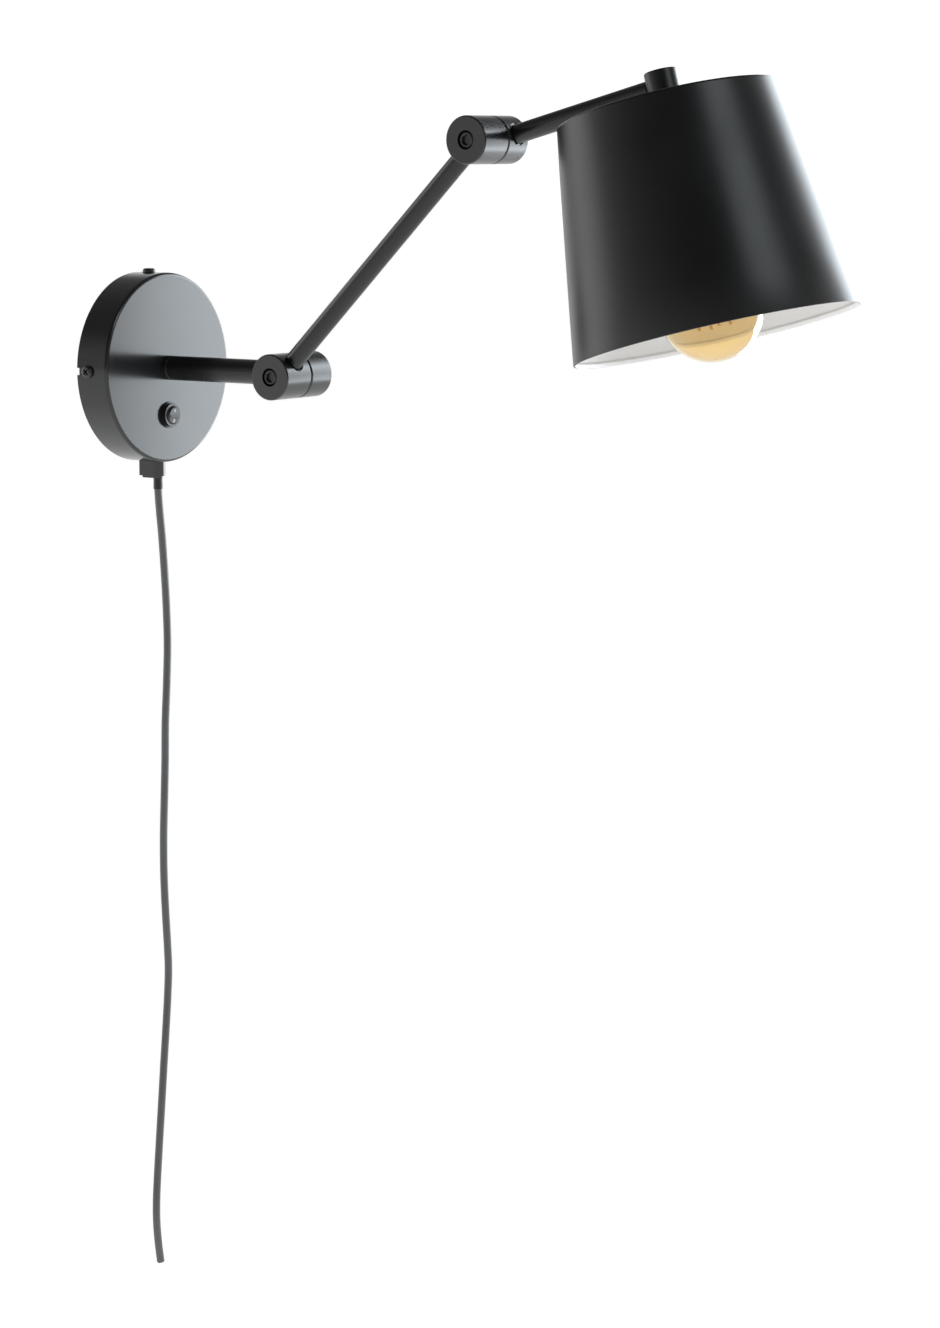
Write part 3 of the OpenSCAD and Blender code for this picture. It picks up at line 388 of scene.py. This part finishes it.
def shade_piece():
    """The spun cone: black outside, white inside, with a rolled top edge and a folded hem."""
    rt, rm, h, t, er = SHADE_TOP_R, SHADE_MOUTH_R, SHADE_H, SHEET, TOP_EDGE_R
    slope = math.degrees(math.atan((rm - rt) / h))
    skin = t / math.cos(math.radians(slope))
    hem_r = rm - HEM_H * (rm - rt) / h
    top = [(r, 0) for r in TOP_RINGS] + arc(rt - er, -er, er, 90, -slope, 6)
    wall = [(rt + (rm - rt) * f, -h * f) for f in WALL_STEPS]
    end = [(rm - 0.0002, -h + 0.0006), (rm - 0.0003, -h + 0.0001), (rm - 0.0006, -h)]
    outer = top + wall + end
    inner = [(rm - HEM_T + 0.0004, -h), (rm - HEM_T, -h + 0.0004), (hem_r - HEM_T, -h + HEM_H - 0.0003),
             (hem_r - HEM_T + 0.0004, -h + HEM_H + 0.0002), (hem_r - skin, -h + HEM_H + 0.0011)]
    inner += [(rt - skin + (rm - rt) * f, -h * f) for f in reversed(WALL_STEPS)]
    inner += arc(rt - skin - er, -t - er, er, -slope, 90, 5) + [(r, -t) for r in reversed(TOP_RINGS)]
    prof = outer + inner
    edge = len(outer)
    return lathe("shade_shell", prof, SHADE, [M["enamel"], M["inside"]],
                 lambda i: 0 if i < edge else 1, 192, 35)


shade = shade_piece()
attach(shade, "upper_arm")
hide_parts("shade")


BULB_LEN, BULB_R, CAP_H, NECK_R, GLASS = 0.104, 0.030, 0.026, 0.0141, 0.0008
BULB_SEAT = 0.0444  # from the shade's top down to the end contact
GLOBE_START = 52  # degrees from the globe's pole, where the neck's curve meets it
NECK_STEPS, GLOBE_STEPS = 12, 32


def bulb_piece():
    """The amber glass, blown in one with its neck.

    It is a thin shell, so that light goes through two skins of it.
    """
    r, cap_h, nr = BULB_R, CAP_H, NECK_R
    gz = BULB_LEN - r

    def line(s):
        """The glass outline, a distance s inside its outer skin."""
        ba = math.radians(GLOBE_START)
        pts = [(nr - s, cap_h - 0.002), (nr - s, cap_h)]
        r1, z1 = (r - s) * math.sin(ba), gz - (r - s) * math.cos(ba)
        for i in range(1, NECK_STEPS + 1):
            t = i / NECK_STEPS
            q = t * t * (3 - 2 * t)
            pts.append((nr - s + (r1 - nr + s) * (0.35 * t + 0.65 * q * t), cap_h + (z1 - cap_h) * t))
        for i in range(1, GLOBE_STEPS + 1):
            a = -math.pi / 2 + ba + (math.pi - ba) * i / GLOBE_STEPS
            radius = max(0.0, (r - s) * math.cos(a)) if i < GLOBE_STEPS else 0.0
            pts.append((radius, gz + (r - s) * math.sin(a)))
        return pts

    outer, inner = line(0), line(GLASS)
    prof = outer + inner[::-1]
    place = SHADE @ Matrix.Translation((0, 0, -BULB_SEAT)) @ Matrix.Rotation(math.pi, 4, "X")
    return lathe("bulb_shell", prof, place, [M["amber"]], None, 128, 60)


bulb = bulb_piece()
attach(bulb, "upper_arm")
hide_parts("bulb_glass")


# ---------------------------------------------------------------- studio
def card(name, centre, facing, width, height, radiance, tint=(1, 1, 1)):
    """A soft light of even brightness, turned towards a point. It isn't seen by the camera."""
    data = bpy.data.lights.new(name, "AREA")
    data.shape, data.size, data.size_y = "RECTANGLE", width, height
    data.energy, data.color = radiance * math.pi * width * height, tint
    ob = bpy.data.objects.new(name, data)
    ob.location = centre
    d = Vector(centre) - Vector(facing)
    ob.rotation_euler = d.to_track_quat("Z", "Y").to_euler()
    ob.visible_camera = False
    bpy.context.scene.collection.objects.link(ob)


def around(angle, distance, height):
    """A place round the shade, counted from the camera's side towards its right."""
    a = math.radians(angle)
    back = Vector((-FWD.x, -FWD.y, 0)).normalized()
    right = Vector((RIGHT.x, RIGHT.y, 0)).normalized()
    return Vector((0, -0.4, height)) + distance * (back * math.cos(a) + right * math.sin(a))


card("right_soft", (0.95, -0.49, 0.11), (0.0, -0.49, 0.11), 0.74, 0.98, 6.2, (0.86, 0.94, 1.0))
card("left_soft", around(-108, 2.2, 0.1), (0, -0.4, 0.1), 1.2, 1.8, 1.3)
card("high_right", around(48, 1.95, 1.4), (0, -0.4, 0.1), 1.15, 0.95, 3.1, (0.88, 0.95, 1.0))


def studio_world():
    """White behind the lamp, falling to grey behind the camera and overhead."""
    world = bpy.data.worlds.new("studio")
    bpy.context.scene.world = world
    world.use_nodes = True
    nt = world.node_tree
    co = nt.nodes.new("ShaderNodeTexCoord")
    dot = nt.nodes.new("ShaderNodeVectorMath")
    dot.operation = "DOT_PRODUCT"
    dot.inputs[1].default_value = (FWD.x, FWD.y, 0)
    flat = nt.nodes.new("ShaderNodeMapRange")
    flat.inputs["From Min"].default_value, flat.inputs["From Max"].default_value = -0.9, 0.8
    flat.inputs["To Min"].default_value, flat.inputs["To Max"].default_value = 0.16, 1.08
    sep = nt.nodes.new("ShaderNodeSeparateXYZ")
    high = nt.nodes.new("ShaderNodeMapRange")
    high.inputs["From Min"].default_value, high.inputs["From Max"].default_value = 0.22, 0.5
    high.inputs["To Min"].default_value, high.inputs["To Max"].default_value = 1.0, 0.2
    mul = nt.nodes.new("ShaderNodeMath")
    mul.operation = "MULTIPLY"
    nt.links.new(co.outputs["Generated"], dot.inputs[0])
    nt.links.new(co.outputs["Generated"], sep.inputs[0])
    nt.links.new(dot.outputs["Value"], flat.inputs["Value"])
    nt.links.new(sep.outputs["Z"], high.inputs["Value"])
    nt.links.new(flat.outputs["Result"], mul.inputs[0])
    nt.links.new(high.outputs["Result"], mul.inputs[1])
    nt.nodes["Background"].inputs["Color"].default_value = (1, 1, 1, 1)
    nt.links.new(mul.outputs["Value"], nt.nodes["Background"].inputs["Strength"])


studio_world()
bpy.context.scene.view_settings.view_transform = "Standard"


FLOOR_HALF, FLOOR_Z = 45.0, -1.3


def pale_floor():
    """A white floor that glows a little, so that it goes over into the white behind the lamp."""
    m, nt, b = new_mat("pale_floor")
    n = tex_noise(nt, 1.5, 2)
    nt.links.new(ramp(nt, n.outputs["Fac"], [(0.3, grey(0.80)), (0.7, grey(0.83))]), b.inputs["Base Color"])
    b.inputs["Roughness"].default_value = 0.9
    b.inputs["Emission Color"].default_value = (1, 1, 1, 1)
    b.inputs["Emission Strength"].default_value = 0.82
    s, z = FLOOR_HALF, FLOOR_Z
    corners = [(-s, -s, z), (s, -s, z), (s, s, z), (-s, s, z)]
    ob = add_mesh("floor", corners, [(0, 1, 2, 3)], [m], smooth=False)


pale_floor()
